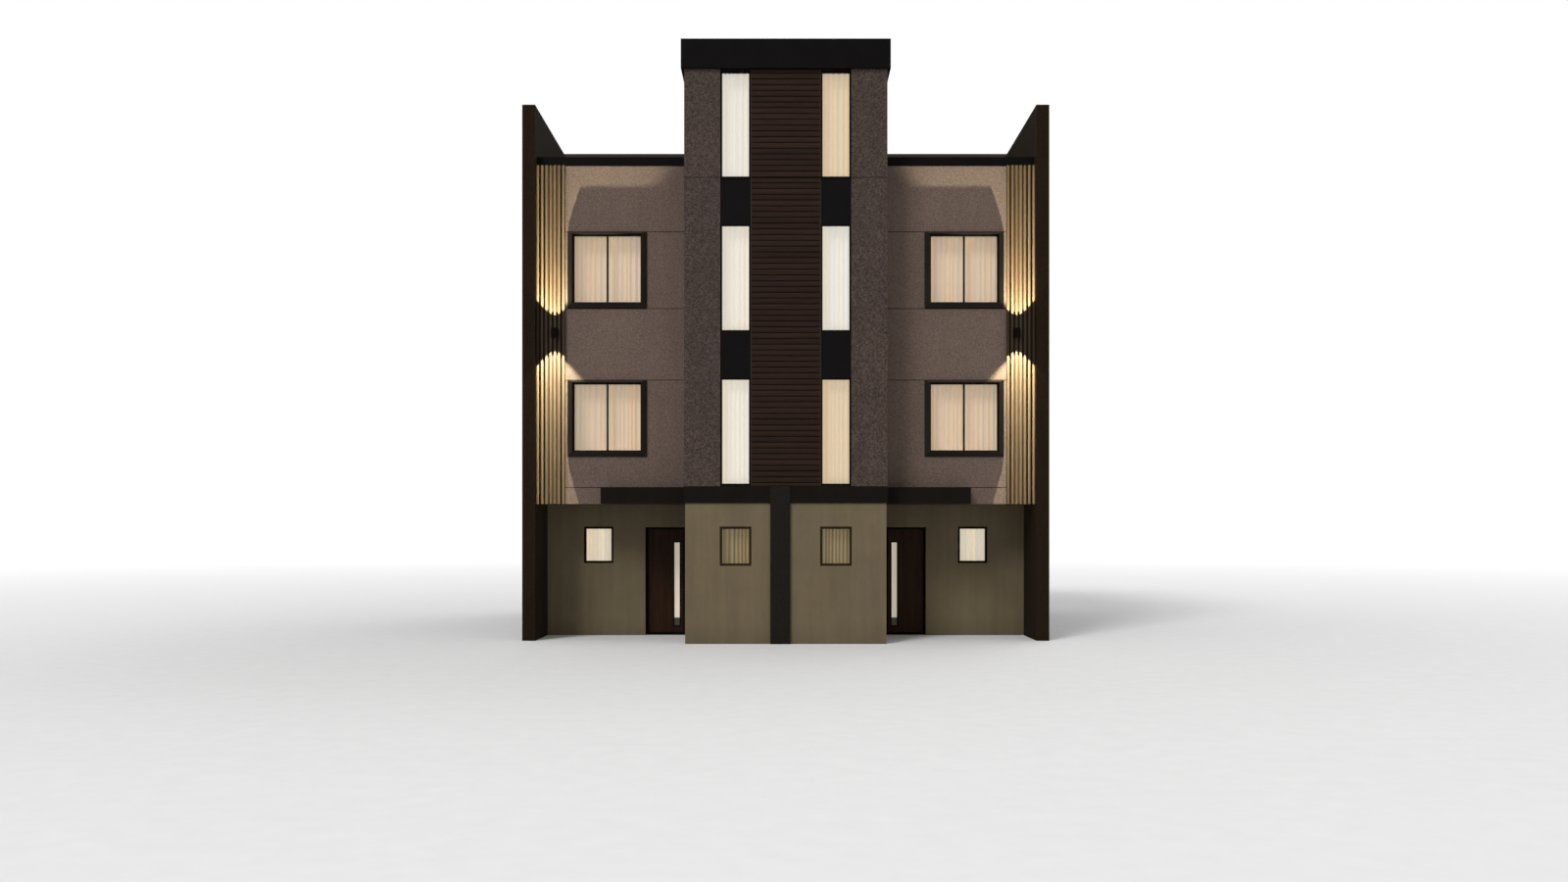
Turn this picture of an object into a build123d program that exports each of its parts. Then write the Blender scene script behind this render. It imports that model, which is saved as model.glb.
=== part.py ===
"""Twin villa: two mirrored houses that share a middle tower, in millimetres.

The street front faces -Y, +X is to the right seen from the street and +Z is up. The origin
lies on the ground, in the middle of the plan. Depths are measured from the tower's front face
towards the back garden, and place() turns them into Y.
"""
import os

from build123d import *

# Storeys and floors
storey_height = 3200
ground_floor_top = 50
soffit_height = 2930
band_height = 350
floor_thickness = 250
tower_floor_step = 250
tower_room_height = 2280
roof_room_height = 2040

# Plan, with depths behind the tower's front face
house_depth = 11000
wing_setback = 990
entrance_setback = 2210
roof_room_setback = 5340
party_wall_spacing = 11000
party_wall_thickness = 277
party_wall_nib = 230
wall_thickness = 200

# Tower
tower_width = 4230
tower_depth = 3660
cladding_recess = 60
cladding_lap = 40
cladding_width = 1456
board_pitch = 120
board_groove = 16
board_groove_depth = 24
base_inset = 20

# Roofs, parapets and the dark band over the ground floor
cap_height = 610
cap_overhang = 65
cap_upstand_width = 120
cap_slab_thickness = 300
rear_roof_thickness = 280
parapet_rise = 790
coping_height = 190
coping_lap = 15
band_lap = 10
band_board = 60
canopy_reach = 1807
canopy_projection = 510

# Joints in the facing: level grooves round the tower and along the wings
joint_height = 14
joint_depth = 10

# Pier between the two front gardens
pier_width = 414
pier_middle = -115
pier_projection = 40

# Tall windows of the tower
tall_window_width = 634
tall_window_height = 2240
tall_window_sill = 20
tall_window_middle = 1045
tall_window_rows = 3

# Wide windows of the wings, with a tapered surround
wide_window_width = 1490
wide_window_height = 1485
wide_window_sill = 780
wide_window_rows = 2
surround_width = 107
surround_head = 52
surround_lip = 15
surround_edge = 30
surround_projection = 100
surround_to_screen = 58.5

# Small windows of the ground floor
small_window_width = 660
small_window_height = 820
small_window_sill = 1625
small_frame_face = 42
entrance_window_offset = 1151.5

# Frames, panes and curtains
frame_face = 30
frame_depth = 70
mullion_face = 34
frame_inset = 25
pane_thickness = 24
curtain_thickness = 80
curtain_stand_off = 40
curtain_side_lap = 60
curtain_drop = 250
soft_gap = 0.3

# Entrance doors
door_width = 891
door_height = 2430
door_offset = 172
door_jamb = 30
door_stop = 15
door_frame_depth = 120
door_leaf_thickness = 50
door_gap = 5
door_foot_gap = 8
slot_width = 128
slot_edge = 93
slot_foot = 150
slot_height = 1880
slot_glass_thickness = 20
hinge_radius = 9
hinge_clearance = 1
hinge_plate = 3
hinge_plate_width = 30
hinge_half_length = 55
hinge_play = 0.5
hinge_levels = (300, 1190, 2080)

# Slatted timber screens beside the party walls
slat_count = 7
slat_width = 45
slat_pitch = 93
slat_depth = 45
batten_depth = 30
batten_height = 60
batten_count = 7

# Wall lamps, each on one slat, counted from the party wall with the first as 0
lamp_slat = 4
lamp_width = 128
lamp_depth = 105
lamp_height = 208
lamp_level = 6605
lamp_recess = 25
lamp_wall = 8

# Doors from the roof terraces to the roof rooms
roof_door_width = 900
roof_door_head = 40
roof_door_offset = 835

# Values worked out from the sizes above
full_depth = cap_overhang + house_depth + party_wall_nib
tower_front = cap_overhang - full_depth / 2
party_inner = (party_wall_spacing - party_wall_thickness) / 2
party_outer = (party_wall_spacing + party_wall_thickness) / 2
tower_side = tower_width / 2
tower_inner = tower_side - wall_thickness
base_side = tower_side - base_inset
base_inner = base_side - wall_thickness
wing_inner = wing_setback + wall_thickness
entrance_inner = entrance_setback + wall_thickness
rear_inner = house_depth - wall_thickness
first_floor_top = soffit_height + band_height
second_floor_top = first_floor_top + storey_height
tower_floor_top = second_floor_top + storey_height
terrace_top = tower_floor_top - tower_floor_step
tower_wall_top = tower_floor_top + tower_room_height
party_wall_height = terrace_top + roof_room_height
parapet_height = terrace_top + parapet_rise
roof_door_height = roof_room_height - roof_door_head
cladding_side = tall_window_middle + tall_window_width / 2
frame_back = frame_inset + frame_depth
door_near = base_side + door_offset
door_far = door_near + door_width
screen_face = wing_setback - batten_depth - slat_depth
screen_edge = party_inner - (slat_count - 1) * slat_pitch - slat_width
wide_window_middle = screen_edge - surround_to_screen - surround_width - wide_window_width / 2
entrance_window_middle = party_inner - entrance_window_offset
lamp_middle = party_inner - lamp_slat * slat_pitch - slat_width / 2
roof_door_middle = tower_side + roof_door_offset + roof_door_width / 2
canopy_side = tower_side + canopy_reach
sides = (-1, 1)


def place(depth):
    """Give the Y of a depth behind the tower's front face."""
    return tower_front + depth


def block(x_low, x_high, depth_low, depth_high, z_low, z_high):
    """Make a plain block between two widths, two depths and two heights."""
    corner = (min(x_low, x_high), place(depth_low), z_low)
    size = (abs(x_high - x_low), depth_high - depth_low, z_high - z_low)
    return Pos(*corner) * Box(*size, align=(Align.MIN, Align.MIN, Align.MIN))


def pierce(wall, holes, depth_low, depth_high):
    """Cut openings (middle, sill, width, height) through a wall that lies along X."""
    for middle, sill, width, height in holes:
        wall -= block(middle - width / 2, middle + width / 2, depth_low - 1, depth_high + 1,
                      sill, sill + height)
    return wall


def write(name, shapes):
    """Save one node, made of one shape or of several that don't touch."""
    solids = [solid for shape in shapes for solid in shape.solids()]
    export_step(solids[0] if len(solids) == 1 else Compound(solids), f"parts/{name}.step")


def tall_windows():
    """List the tower's windows as (middle, sill, width, height)."""
    sills = [first_floor_top + tall_window_sill + row * storey_height for row in range(tall_window_rows)]
    return [(side * tall_window_middle, sill, tall_window_width, tall_window_height)
            for side in sides for sill in sills]


def wide_windows(side):
    """List the windows of one wing."""
    sills = [first_floor_top + wide_window_sill + row * storey_height for row in range(wide_window_rows)]
    return [(side * wide_window_middle, sill, wide_window_width, wide_window_height) for sill in sills]


def small_window(middle):
    """Describe one of the ground floor's small windows."""
    return (middle, small_window_sill, small_window_width, small_window_height)


def window_frame(hole, depth, panes=1, face=frame_face):
    """Make one frame whose front face lies at a depth, with a mullion between its panes."""
    middle, sill, width, height = hole
    half = width / 2
    frame = block(middle - half, middle + half, depth, depth + frame_depth, sill, sill + height)
    frame -= block(middle - half + face, middle + half - face,
                   depth - 1, depth + frame_depth + 1, sill + face, sill + height - face)
    if panes == 2:
        frame += block(middle - mullion_face / 2, middle + mullion_face / 2, depth, depth + frame_depth,
                       sill + face, sill + height - face)
    return frame


def window_panes(hole, depth, panes=1, face=frame_face):
    """Make the glass that fills a frame, one sheet a light."""
    middle, sill, width, height = hole
    low, high = middle - width / 2 + face, middle + width / 2 - face
    edges = [(low, high)]
    if panes == 2:
        edges = [(low, middle - mullion_face / 2), (middle + mullion_face / 2, high)]
    glass_front = depth + (frame_depth - pane_thickness) / 2
    return [block(left, right, glass_front, glass_front + pane_thickness,
                  sill + face, sill + height - face) for left, right in edges]


def window_surround(hole, wall_depth, outward):
    """Make the tapered surround that stands out of a wall round a wide window."""
    middle, sill, width, height = hole
    edge = wall_depth + outward * surround_edge
    crown = wall_depth + outward * surround_projection

    def section(depth, side_margin, foot_margin, head_margin):
        low, high = sill - foot_margin, sill + height + head_margin
        plane = Plane((middle, place(depth), (low + high) / 2), x_dir=(1, 0, 0), z_dir=(0, -1, 0))
        return plane * Rectangle(width + 2 * side_margin, high - low)

    half = width / 2 + surround_width
    foot = block(middle - half, middle + half, min(wall_depth, edge), max(wall_depth, edge),
                 sill - surround_width, sill + height + surround_head)
    taper = loft([section(edge, surround_width, surround_width, surround_head),
                  section(crown, surround_lip, surround_lip, surround_lip)])
    low, high = min(wall_depth, crown) - 1, max(wall_depth, crown) + 1
    return foot + taper - block(middle - width / 2, middle + width / 2, low, high, sill, sill + height)


def curtain(middle, width, top, foot, depth):
    """Make the plain solid that stands for one gathered curtain."""
    half = width / 2 + curtain_side_lap
    return block(middle - half, middle + half, depth, depth + curtain_thickness, foot, top - soft_gap)


def floor_plan(tower_half, tower_start, wing_start, thickness, top):
    """Make a T-shaped floor: a bay in the tower and the full width behind the wing fronts."""
    bay = block(-tower_half, tower_half, tower_start, wing_start, top - thickness, top)
    return bay + block(-party_inner, party_inner, wing_start, rear_inner, top - thickness, top)


def floors():
    write("ground_floor_slab", [floor_plan(base_inner, base_inset + wall_thickness, entrance_inner,
                                           ground_floor_top, ground_floor_top)])
    band_inside = tower_side + band_lap - band_board
    write("first_floor_slab", [floor_plan(band_inside, band_board - band_lap, wing_inner,
                                          band_height, first_floor_top)])
    write("second_floor_slab", [floor_plan(tower_inner, wall_thickness, wing_inner,
                                           floor_thickness, second_floor_top)])
    write("terrace_slab", [block(-party_inner, party_inner, wing_inner, rear_inner,
                                 terrace_top - floor_thickness, terrace_top)])
    write("tower_top_floor", [block(-tower_inner, tower_inner, wall_thickness, roof_room_setback,
                                    terrace_top, tower_floor_top)])


def roofs():
    rear_roof = block(-party_outer, party_outer, roof_room_setback, house_depth,
                      party_wall_height, party_wall_height + rear_roof_thickness)
    rear_roof += block(-tower_side, tower_side, tower_depth, roof_room_setback,
                       party_wall_height, party_wall_height + rear_roof_thickness)
    write("rear_roof", [rear_roof])
    half = tower_side + cap_overhang
    back = tower_depth + cap_overhang
    cap = block(-half, half, -cap_overhang, back, tower_wall_top, tower_wall_top + cap_height)
    tray = half - cap_upstand_width
    cap -= block(-tray, tray, cap_upstand_width - cap_overhang, back - cap_upstand_width,
                 tower_wall_top + cap_slab_thickness, tower_wall_top + cap_height + 1)
    write("tower_roof_cap", [cap])
    write("tower_back_beam", [block(-tower_inner, tower_inner, tower_depth - wall_thickness, tower_depth,
                                    party_wall_height, tower_wall_top)])


def party_walls():
    for side, name in zip(sides, ("left", "right")):
        write(f"party_wall_{name}", [block(side * party_inner, side * party_outer,
                                           wing_setback - party_wall_nib, house_depth + party_wall_nib,
                                           0, party_wall_height)])


def tower_joint():
    """Make the ring that cuts one level joint round the tower, at the foot of its top windows."""
    low = tower_floor_top + tall_window_sill
    ring = block(-tower_side - 1, tower_side + 1, -1, roof_room_setback, low, low + joint_height)
    return ring - block(joint_depth - tower_side, tower_side - joint_depth,
                        joint_depth, roof_room_setback + 1, low - 1, low + joint_height + 1)


def tower_walls():
    front = block(-tower_side, tower_side, 0, wall_thickness, first_floor_top, tower_wall_top)
    front -= block(-cladding_side, cladding_side, -1, cladding_recess, first_floor_top, tower_wall_top)
    front -= tower_joint()
    write("tower_front_wall", [pierce(front, tall_windows(), cladding_recess, wall_thickness)])
    corners = [
        (wall_thickness, first_floor_top), (wing_inner, first_floor_top), (wing_inner, terrace_top),
        (roof_room_setback, terrace_top), (roof_room_setback, party_wall_height),
        (tower_depth, party_wall_height), (tower_depth, tower_wall_top), (wall_thickness, tower_wall_top),
    ]
    outline = Polygon(*[(place(depth), height) for depth, height in corners], align=None)
    for side, name in zip(sides, ("left", "right")):
        start = tower_inner if side > 0 else -tower_side
        wall = extrude(Plane.YZ.offset(start) * outline, wall_thickness)
        write(f"tower_side_wall_{name}", [wall - tower_joint()])


def cladding_profile():
    """Outline the dark boards in depth and height, with an open groove between each two."""
    face = cladding_recess - cladding_lap
    bed = face + board_groove_depth
    count = round((tower_wall_top - first_floor_top) / board_pitch)
    top_groove = (first_floor_top + tower_wall_top + (count - 1) * board_pitch) / 2
    points = [(cladding_recess, first_floor_top), (cladding_recess, tower_wall_top), (face, tower_wall_top)]
    for number in range(count):
        high = top_groove - number * board_pitch + board_groove / 2
        low = high - board_groove
        points += [(face, high), (bed, high), (bed, low), (face, low)]
    points.append((face, first_floor_top))
    return Polygon(*[(place(depth), height) for depth, height in points], align=None)


def tower_dressing():
    half = cladding_width / 2
    write("timber_cladding", [extrude(Plane.YZ.offset(-half) * cladding_profile(), cladding_width)])
    panels = []
    for side in sides:
        for row in range(tall_window_rows - 1):
            low = first_floor_top + tall_window_sill + row * storey_height + tall_window_height
            high = first_floor_top + tall_window_sill + (row + 1) * storey_height
            panels.append(block(side * half, side * cladding_side, cladding_recess - frame_face,
                                cladding_recess, low, high))
    write("spandrel_panels", panels)


def tower_base():
    base = block(-base_side, base_side, base_inset, base_inset + wall_thickness, 0, soffit_height)
    holes = [small_window(side * tall_window_middle) for side in sides]
    write("tower_base_wall", [pierce(base, holes, base_inset, base_inset + wall_thickness)])
    for side, name in zip(sides, ("left", "right")):
        write(f"tower_base_side_{name}", [block(side * base_inner, side * base_side,
                                                base_inset + wall_thickness, entrance_inner,
                                                0, soffit_height)])
    low, high = pier_middle - pier_width / 2, pier_middle + pier_width / 2
    pier = block(low, high, -pier_projection, base_inset, 0, soffit_height)
    pier += block(low, high, -pier_projection, -band_lap, soffit_height, first_floor_top)
    write("tower_base_pier", [pier])


def dark_band():
    half = tower_side + band_lap
    band = block(-half, half, -band_lap, wing_setback, soffit_height, first_floor_top)
    band += block(-canopy_side, canopy_side, wing_setback - canopy_projection, wing_setback,
                  soffit_height, first_floor_top)
    band -= block(band_board - half, half - band_board, band_board - band_lap, wing_setback + 1,
                  soffit_height - 1, first_floor_top + 1)
    write("dark_band", [band])


def wing_joints(side):
    """Make the level joints of one wing, in line with its floor and with the surrounds' edges."""
    lower, upper = [sill for middle, sill, width, height in wide_windows(side)]
    head = wide_window_height + surround_head
    levels = (first_floor_top, lower + head, upper - surround_width - joint_height, upper + head)
    return [block(side * tower_side, side * party_inner, wing_setback - 1, wing_setback + joint_depth,
                  level, level + joint_height) for level in levels]


def wing_walls():
    for side, name in zip(sides, ("left", "right")):
        wall = block(side * tower_side, side * party_inner, wing_setback, wing_inner,
                     soffit_height, parapet_height)
        wall -= wing_joints(side)
        write(f"wing_wall_{name}", [pierce(wall, wide_windows(side), wing_setback, wing_inner)])
    write("parapet_copings", [block(side * tower_side, side * party_inner, wing_setback - coping_lap,
                                    wing_inner + coping_lap, parapet_height, parapet_height + coping_height)
                              for side in sides])


def entrance_walls():
    for side, name in zip(sides, ("left", "right")):
        wall = block(side * door_far, side * party_inner, entrance_setback, entrance_inner,
                     0, soffit_height)
        holes = [small_window(side * entrance_window_middle)]
        write(f"entrance_wall_{name}", [pierce(wall, holes, entrance_setback, entrance_inner)])
    write("door_heads", [block(side * door_near, side * door_far, entrance_setback, entrance_inner,
                               door_height, soffit_height) for side in sides])
    write("door_nibs", [block(side * base_side, side * door_near, entrance_setback, entrance_inner,
                              0, soffit_height) for side in sides])


def rear_windows():
    """List the windows of the rear wall: wide ones upstairs and small ones on the ground floor."""
    wide = [hole for side in sides for hole in wide_windows(side)]
    middles = (tall_window_middle, entrance_window_middle)
    small = [small_window(side * middle) for side in sides for middle in middles]
    return wide, small


def rear_wall():
    wide, small = rear_windows()
    wall = block(-party_inner, party_inner, rear_inner, house_depth, 0, party_wall_height)
    write("rear_wall", [pierce(wall, wide + small, rear_inner, house_depth)])


def roof_rooms():
    walls, doors = [], []
    for side in sides:
        wall_back = roof_room_setback + wall_thickness
        wall = block(side * tower_side, side * party_inner, roof_room_setback, wall_back,
                     terrace_top, party_wall_height)
        hole = (side * roof_door_middle, terrace_top, roof_door_width, roof_door_height)
        walls.append(pierce(wall, [hole], roof_room_setback, wall_back))
        leaf_front = roof_room_setback + frame_inset
        doors.append(block(hole[0] - roof_door_width / 2, hole[0] + roof_door_width / 2,
                           leaf_front, leaf_front + door_leaf_thickness,
                           terrace_top, terrace_top + roof_door_height))
    write("roof_room_walls", walls)
    write("roof_doors", doors)


def windows():
    front_wide = [hole for side in sides for hole in wide_windows(side)]
    wide, small = rear_windows()
    tall_face = cladding_recess - frame_face
    base_small = [small_window(side * tall_window_middle) for side in sides]
    entrance_small = [small_window(side * entrance_window_middle) for side in sides]
    wing_face = wing_setback + frame_inset
    rear_face = house_depth - frame_back
    write("tower_window_frames", [window_frame(hole, tall_face) for hole in tall_windows()])
    write("tower_window_glass", [pane for hole in tall_windows() for pane in window_panes(hole, tall_face)])
    write("wing_window_frames", [window_frame(hole, wing_face, 2) for hole in front_wide])
    write("wing_window_glass", [pane for hole in front_wide for pane in window_panes(hole, wing_face, 2)])
    write("wing_window_surrounds", [window_surround(hole, wing_setback, -1) for hole in front_wide])
    small_places = [(hole, base_inset + frame_inset) for hole in base_small]
    small_places += [(hole, entrance_setback + frame_inset) for hole in entrance_small]
    write("ground_window_frames", [window_frame(hole, depth, face=small_frame_face)
                                   for hole, depth in small_places])
    write("ground_window_glass", [pane for hole, depth in small_places
                                  for pane in window_panes(hole, depth, face=small_frame_face)])
    write("rear_window_frames", [window_frame(hole, rear_face, 2) for hole in wide]
          + [window_frame(hole, rear_face, face=small_frame_face) for hole in small])
    write("rear_window_glass", [pane for hole in wide for pane in window_panes(hole, rear_face, 2)]
          + [pane for hole in small for pane in window_panes(hole, rear_face, face=small_frame_face)])
    write("rear_window_surrounds", [window_surround(hole, house_depth, 1) for hole in wide])


def curtains():
    tower, wings, ground = [], [], []
    behind_tower = wall_thickness + curtain_stand_off
    ceilings = (second_floor_top - floor_thickness, terrace_top, tower_wall_top)
    for middle, sill, width, height in tall_windows():
        ceiling = min(level for level in ceilings if level >= sill + height)
        tower.append(curtain(middle, width, ceiling, sill, behind_tower))
    wing_ceilings = (second_floor_top - floor_thickness, terrace_top - floor_thickness)
    for side in sides:
        for (middle, sill, width, height), ceiling in zip(wide_windows(side), wing_ceilings):
            wings.append(curtain(middle, width, ceiling, sill - curtain_drop,
                                 wing_inner + curtain_stand_off))
        ground.append(curtain(side * tall_window_middle, small_window_width, soffit_height,
                              small_window_sill - curtain_drop, base_inset + behind_tower))
        ground.append(curtain(side * entrance_window_middle, small_window_width, soffit_height,
                              small_window_sill - curtain_drop, entrance_inner + curtain_stand_off))
    wide, small = rear_windows()
    behind_rear = rear_inner - curtain_stand_off - curtain_thickness
    rear = [curtain(middle, width, min(level for level in wing_ceilings if level > sill),
                    sill - curtain_drop, behind_rear) for middle, sill, width, height in wide]
    rear += [curtain(middle, width, soffit_height, sill - curtain_drop, behind_rear)
             for middle, sill, width, height in small]
    write("tower_curtains", tower)
    write("wing_curtains", wings)
    write("ground_curtains", ground)
    write("rear_curtains", rear)


def hinge_half(side, level, reach):
    """Make one half of a lift-off hinge, with its plate on the jamb (1) or on the leaf (-1)."""
    pin_x = side * (door_far - door_jamb)
    pin_depth = entrance_inner + hinge_radius + hinge_clearance
    foot = level if reach < 0 else level - hinge_half_length - hinge_play
    barrel = Pos(pin_x, place(pin_depth), foot) * Cylinder(
        hinge_radius, hinge_half_length, align=(Align.CENTER, Align.CENTER, Align.MIN))
    start = door_gap if reach < 0 else 0
    plate = block(pin_x + side * reach * start, pin_x + side * reach * hinge_plate_width,
                  entrance_inner, entrance_inner + hinge_plate, foot, foot + hinge_half_length)
    web = block(pin_x, pin_x + side * reach * (start + hinge_plate), entrance_inner + hinge_clearance,
                entrance_inner + hinge_plate, foot, foot + hinge_half_length)
    return barrel + plate + web


def entrance_door(side):
    """Give the frame, the leaf and the slot glass of one entrance door."""
    inner = entrance_inner
    outer = inner - door_frame_depth
    leaf_front = inner - door_leaf_thickness
    near, far = door_near + door_jamb, door_far - door_jamb
    head = door_height - door_jamb
    frame = block(side * door_near, side * door_far, outer, inner, 0, door_height)
    frame -= block(side * near, side * far, leaf_front - door_gap, inner + 1, ground_floor_top, head)
    frame -= block(side * (near + door_stop), side * (far - door_stop),
                   outer - 1, leaf_front - door_gap + 1, ground_floor_top, head - door_stop)
    leaf_near, leaf_far = near + door_gap, far - door_gap
    leaf_foot = ground_floor_top + door_foot_gap
    leaf = block(side * leaf_near, side * leaf_far, leaf_front, inner, leaf_foot, head - door_gap)
    slot = (side * (leaf_near + slot_edge), side * (leaf_near + slot_edge + slot_width))
    slot_low = leaf_foot + slot_foot
    leaf -= block(*slot, leaf_front - 1, inner + 1, slot_low, slot_low + slot_height)
    glass_front = leaf_front + (door_leaf_thickness - slot_glass_thickness) / 2
    glass = block(*slot, glass_front, glass_front + slot_glass_thickness, slot_low, slot_low + slot_height)
    for level in hinge_levels:
        frame += hinge_half(side, level, 1)
        leaf += hinge_half(side, level, -1)
    return frame, leaf, glass


def doors():
    for side, name in zip(sides, ("left", "right")):
        frame, leaf, glass = entrance_door(side)
        write(f"door_frame_{name}", [frame])
        write(f"door_leaf_{name}", [leaf])
        write(f"door_glass_{name}", [glass])


def slat_screen(side):
    """Make one screen: upright slats from the party wall inwards, on level battens."""
    screen = None
    for number in range(slat_count):
        high = party_inner - number * slat_pitch
        slat = block(side * (high - slat_width), side * high, screen_face, screen_face + slat_depth,
                     soffit_height, parapet_height)
        screen = slat if screen is None else screen + slat
    spacing = (parapet_height - soffit_height - batten_height) / (batten_count - 1)
    for number in range(batten_count):
        low = soffit_height + number * spacing
        screen += block(side * screen_edge, side * party_inner, wing_setback - batten_depth, wing_setback,
                        low, low + batten_height)
    return screen


def screens_and_lamps():
    for side, name in zip(sides, ("left", "right")):
        write(f"slat_screen_{name}", [slat_screen(side)])
    lamps = []
    for side in sides:
        low, high = side * lamp_middle - lamp_width / 2, side * lamp_middle + lamp_width / 2
        foot, top = lamp_level - lamp_height / 2, lamp_level + lamp_height / 2
        lamp = block(low, high, screen_face - lamp_depth, screen_face, foot, top)
        for start, end in ((foot - 1, foot + lamp_recess), (top - lamp_recess, top + 1)):
            lamp -= block(low + lamp_wall, high - lamp_wall, screen_face - lamp_depth + lamp_wall,
                          screen_face - lamp_wall, start, end)
        lamps.append(lamp)
    write("wall_lamps", lamps)


def main():
    os.makedirs("parts", exist_ok=True)
    for build in (floors, roofs, party_walls, tower_walls, tower_dressing, tower_base, dark_band,
                  wing_walls, entrance_walls, rear_wall, roof_rooms, windows, curtains, doors,
                  screens_and_lamps):
        build()


main()
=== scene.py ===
"""Finishes, boards, slats, curtains and lamps of the twin villa, laid out as an add-on.

Everything is in metres. The front faces -Y, +X is to the right and +Z is up.
"""

import math
import random
from functools import reduce

import bpy
from mathutils import Euler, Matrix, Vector


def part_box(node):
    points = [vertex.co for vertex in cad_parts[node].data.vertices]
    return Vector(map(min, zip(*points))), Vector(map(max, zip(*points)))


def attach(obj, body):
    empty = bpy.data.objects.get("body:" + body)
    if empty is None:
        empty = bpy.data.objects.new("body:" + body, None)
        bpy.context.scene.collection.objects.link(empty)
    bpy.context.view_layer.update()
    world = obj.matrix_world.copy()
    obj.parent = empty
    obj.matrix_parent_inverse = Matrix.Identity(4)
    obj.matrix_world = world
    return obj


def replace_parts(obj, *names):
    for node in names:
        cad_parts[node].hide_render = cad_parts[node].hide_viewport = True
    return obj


bl_info = {
    "name": "Twin villa finishes",
    "version": (1, 0, 0),
    "blender": (4, 5, 0),
    "location": "View3D > Sidebar > Villa",
    "description": "Finishes, boards, slats, curtains and lamps of a twin villa with a shared tower",
    "category": "Object",
}

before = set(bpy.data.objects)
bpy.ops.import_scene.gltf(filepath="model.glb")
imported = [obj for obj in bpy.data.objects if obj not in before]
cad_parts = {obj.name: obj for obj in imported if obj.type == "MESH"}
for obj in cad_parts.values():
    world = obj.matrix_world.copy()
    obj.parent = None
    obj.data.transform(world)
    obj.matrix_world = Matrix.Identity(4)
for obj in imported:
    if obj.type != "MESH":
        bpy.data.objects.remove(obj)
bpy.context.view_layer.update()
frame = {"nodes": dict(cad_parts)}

SIDES = ("left", "right")

# Focal length in millimetres, shift as a share of the frame's width
CAMERA_FOCAL_LENGTH = 29.43
CAMERA_DISTANCE = 26.66
CAMERA_HEIGHT = 2.43
CAMERA_ASIDE = -0.037
CAMERA_SHIFT = 0.055
CAMERA_REACH = 400

FLOOR_HALF_WIDTH = 160
FLOOR_COLOUR = (0.78, 0.78, 0.78)
FLOOR_FADE_START, FLOOR_FADE_END = 14.0, 60.0
WORLD_LEVEL = 0.62
# Each sun's turns in degrees, its strength, and its width in degrees
SUNS = {"key_light": ((50, 0, -32), 1.45, 18), "fill_light": ((58, 0, 140), 0.5, 40)}


# Colours and properties

def linear(value):
    """Turn one sRGB byte into a linear value."""
    share = value / 255
    return share / 12.92 if share <= 0.04045 else ((share + 0.055) / 1.055) ** 2.4


def colour(name, description, red, green, blue):
    """Make a colour property from sRGB bytes."""
    return bpy.props.FloatVectorProperty(
        name=name, description=description, subtype="COLOR", size=3, min=0, max=1,
        default=(linear(red), linear(green), linear(blue)))


def measure(name, description, default, unit="LENGTH"):
    """Make a property for a length in metres, an angle in radians or a power in watts."""
    return bpy.props.FloatProperty(name=name, description=description, default=default, min=0,
                                   unit=unit, precision=4)


class VillaColours(bpy.types.PropertyGroup):
    """Colours of the villa's finishes."""

    tower: colour("Tower", "Rough cast render of the tower", 72, 61, 55)
    wing: colour("Wing", "Granular render of the wings", 103, 88, 79)
    plaster: colour("Plaster", "Smooth plaster of the ground floor", 105, 93, 71)
    fin: colour("Party wall", "Dark paint of the party walls", 33, 25, 17)
    # Painted shadow: the pier's dark colour stands for a shadow that falls in a strip on the tower base.
    pier_shadow: colour("Pier", "Dark render of the pier under the tower", 31, 28, 25)
    metal: colour("Metal", "Dark sheet of the cap, copings and spandrels", 12, 10, 10)
    band: colour("Band", "Dark sheet of the band and its canopies", 21, 17, 14)
    window_frame: colour("Window frame", "Black coating of the window frames", 10, 8, 8)
    base_frame: colour("Base frame", "Brown coating of the tower base's windows", 45, 36, 21)
    surround: colour("Surround", "Coating of the tapered window surrounds", 40, 35, 31)
    concrete: colour("Concrete", "Floor slabs", 118, 114, 107)
    roof_edge: colour("Roof edge", "Render of the rear roof's edge", 60, 54, 47)
    membrane: colour("Membrane", "Roofing sheet and gravel", 112, 107, 100)
    cladding: colour("Cladding", "Dark boards of the tower", 42, 29, 22)
    trim: colour("Trim", "Edge trims of the cladding", 58, 50, 44)
    slat: colour("Slat", "Oiled slats beside the party walls", 53, 41, 28)
    # Painted shade: the soffit is the ground-floor plaster, darkened for the shade under the upper floors.
    shaded_soffit: colour("Soffit", "Plaster under the upper floors", 72, 60, 44)
    # Partly painted shade: the joint profiles are real, and their near-black colour also stands for the
    # shade in the grooves.
    joint_and_shade: colour("Joint", "Profiles in the shadow joints", 12, 10, 9)
    bead: colour("Bead", "Pale beads of the wide windows", 176, 164, 145)
    screen_backing: colour("Screen backing", "Boarding behind the slats", 27, 17, 8)
    door: colour("Door", "Dark veneer of the doors", 45, 29, 19)
    # The curtains' colours partly hold painted room light: the warm and the dim ones stand for warmer and
    # dimmer rooms behind the cloth.
    curtain_white: colour("White curtain", "Curtains before a bright room", 236, 230, 216)
    curtain_warm_lit: colour("Warm curtain", "Curtains before a warm room", 227, 206, 174)
    curtain_cream: colour("Cream curtain", "Curtains beside the doors", 223, 213, 193)
    curtain_beige: colour("Beige curtain", "Curtains of the wings", 206, 185, 160)
    curtain_dim: colour("Dim curtain", "Curtains before a dim room", 142, 126, 93)
    slot_glass: colour("Slot glass", "Etched glass of the doors", 214, 203, 184)
    lamp_light: colour("Lamp light", "Light of the wall lamps", 255, 252, 220)


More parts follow.
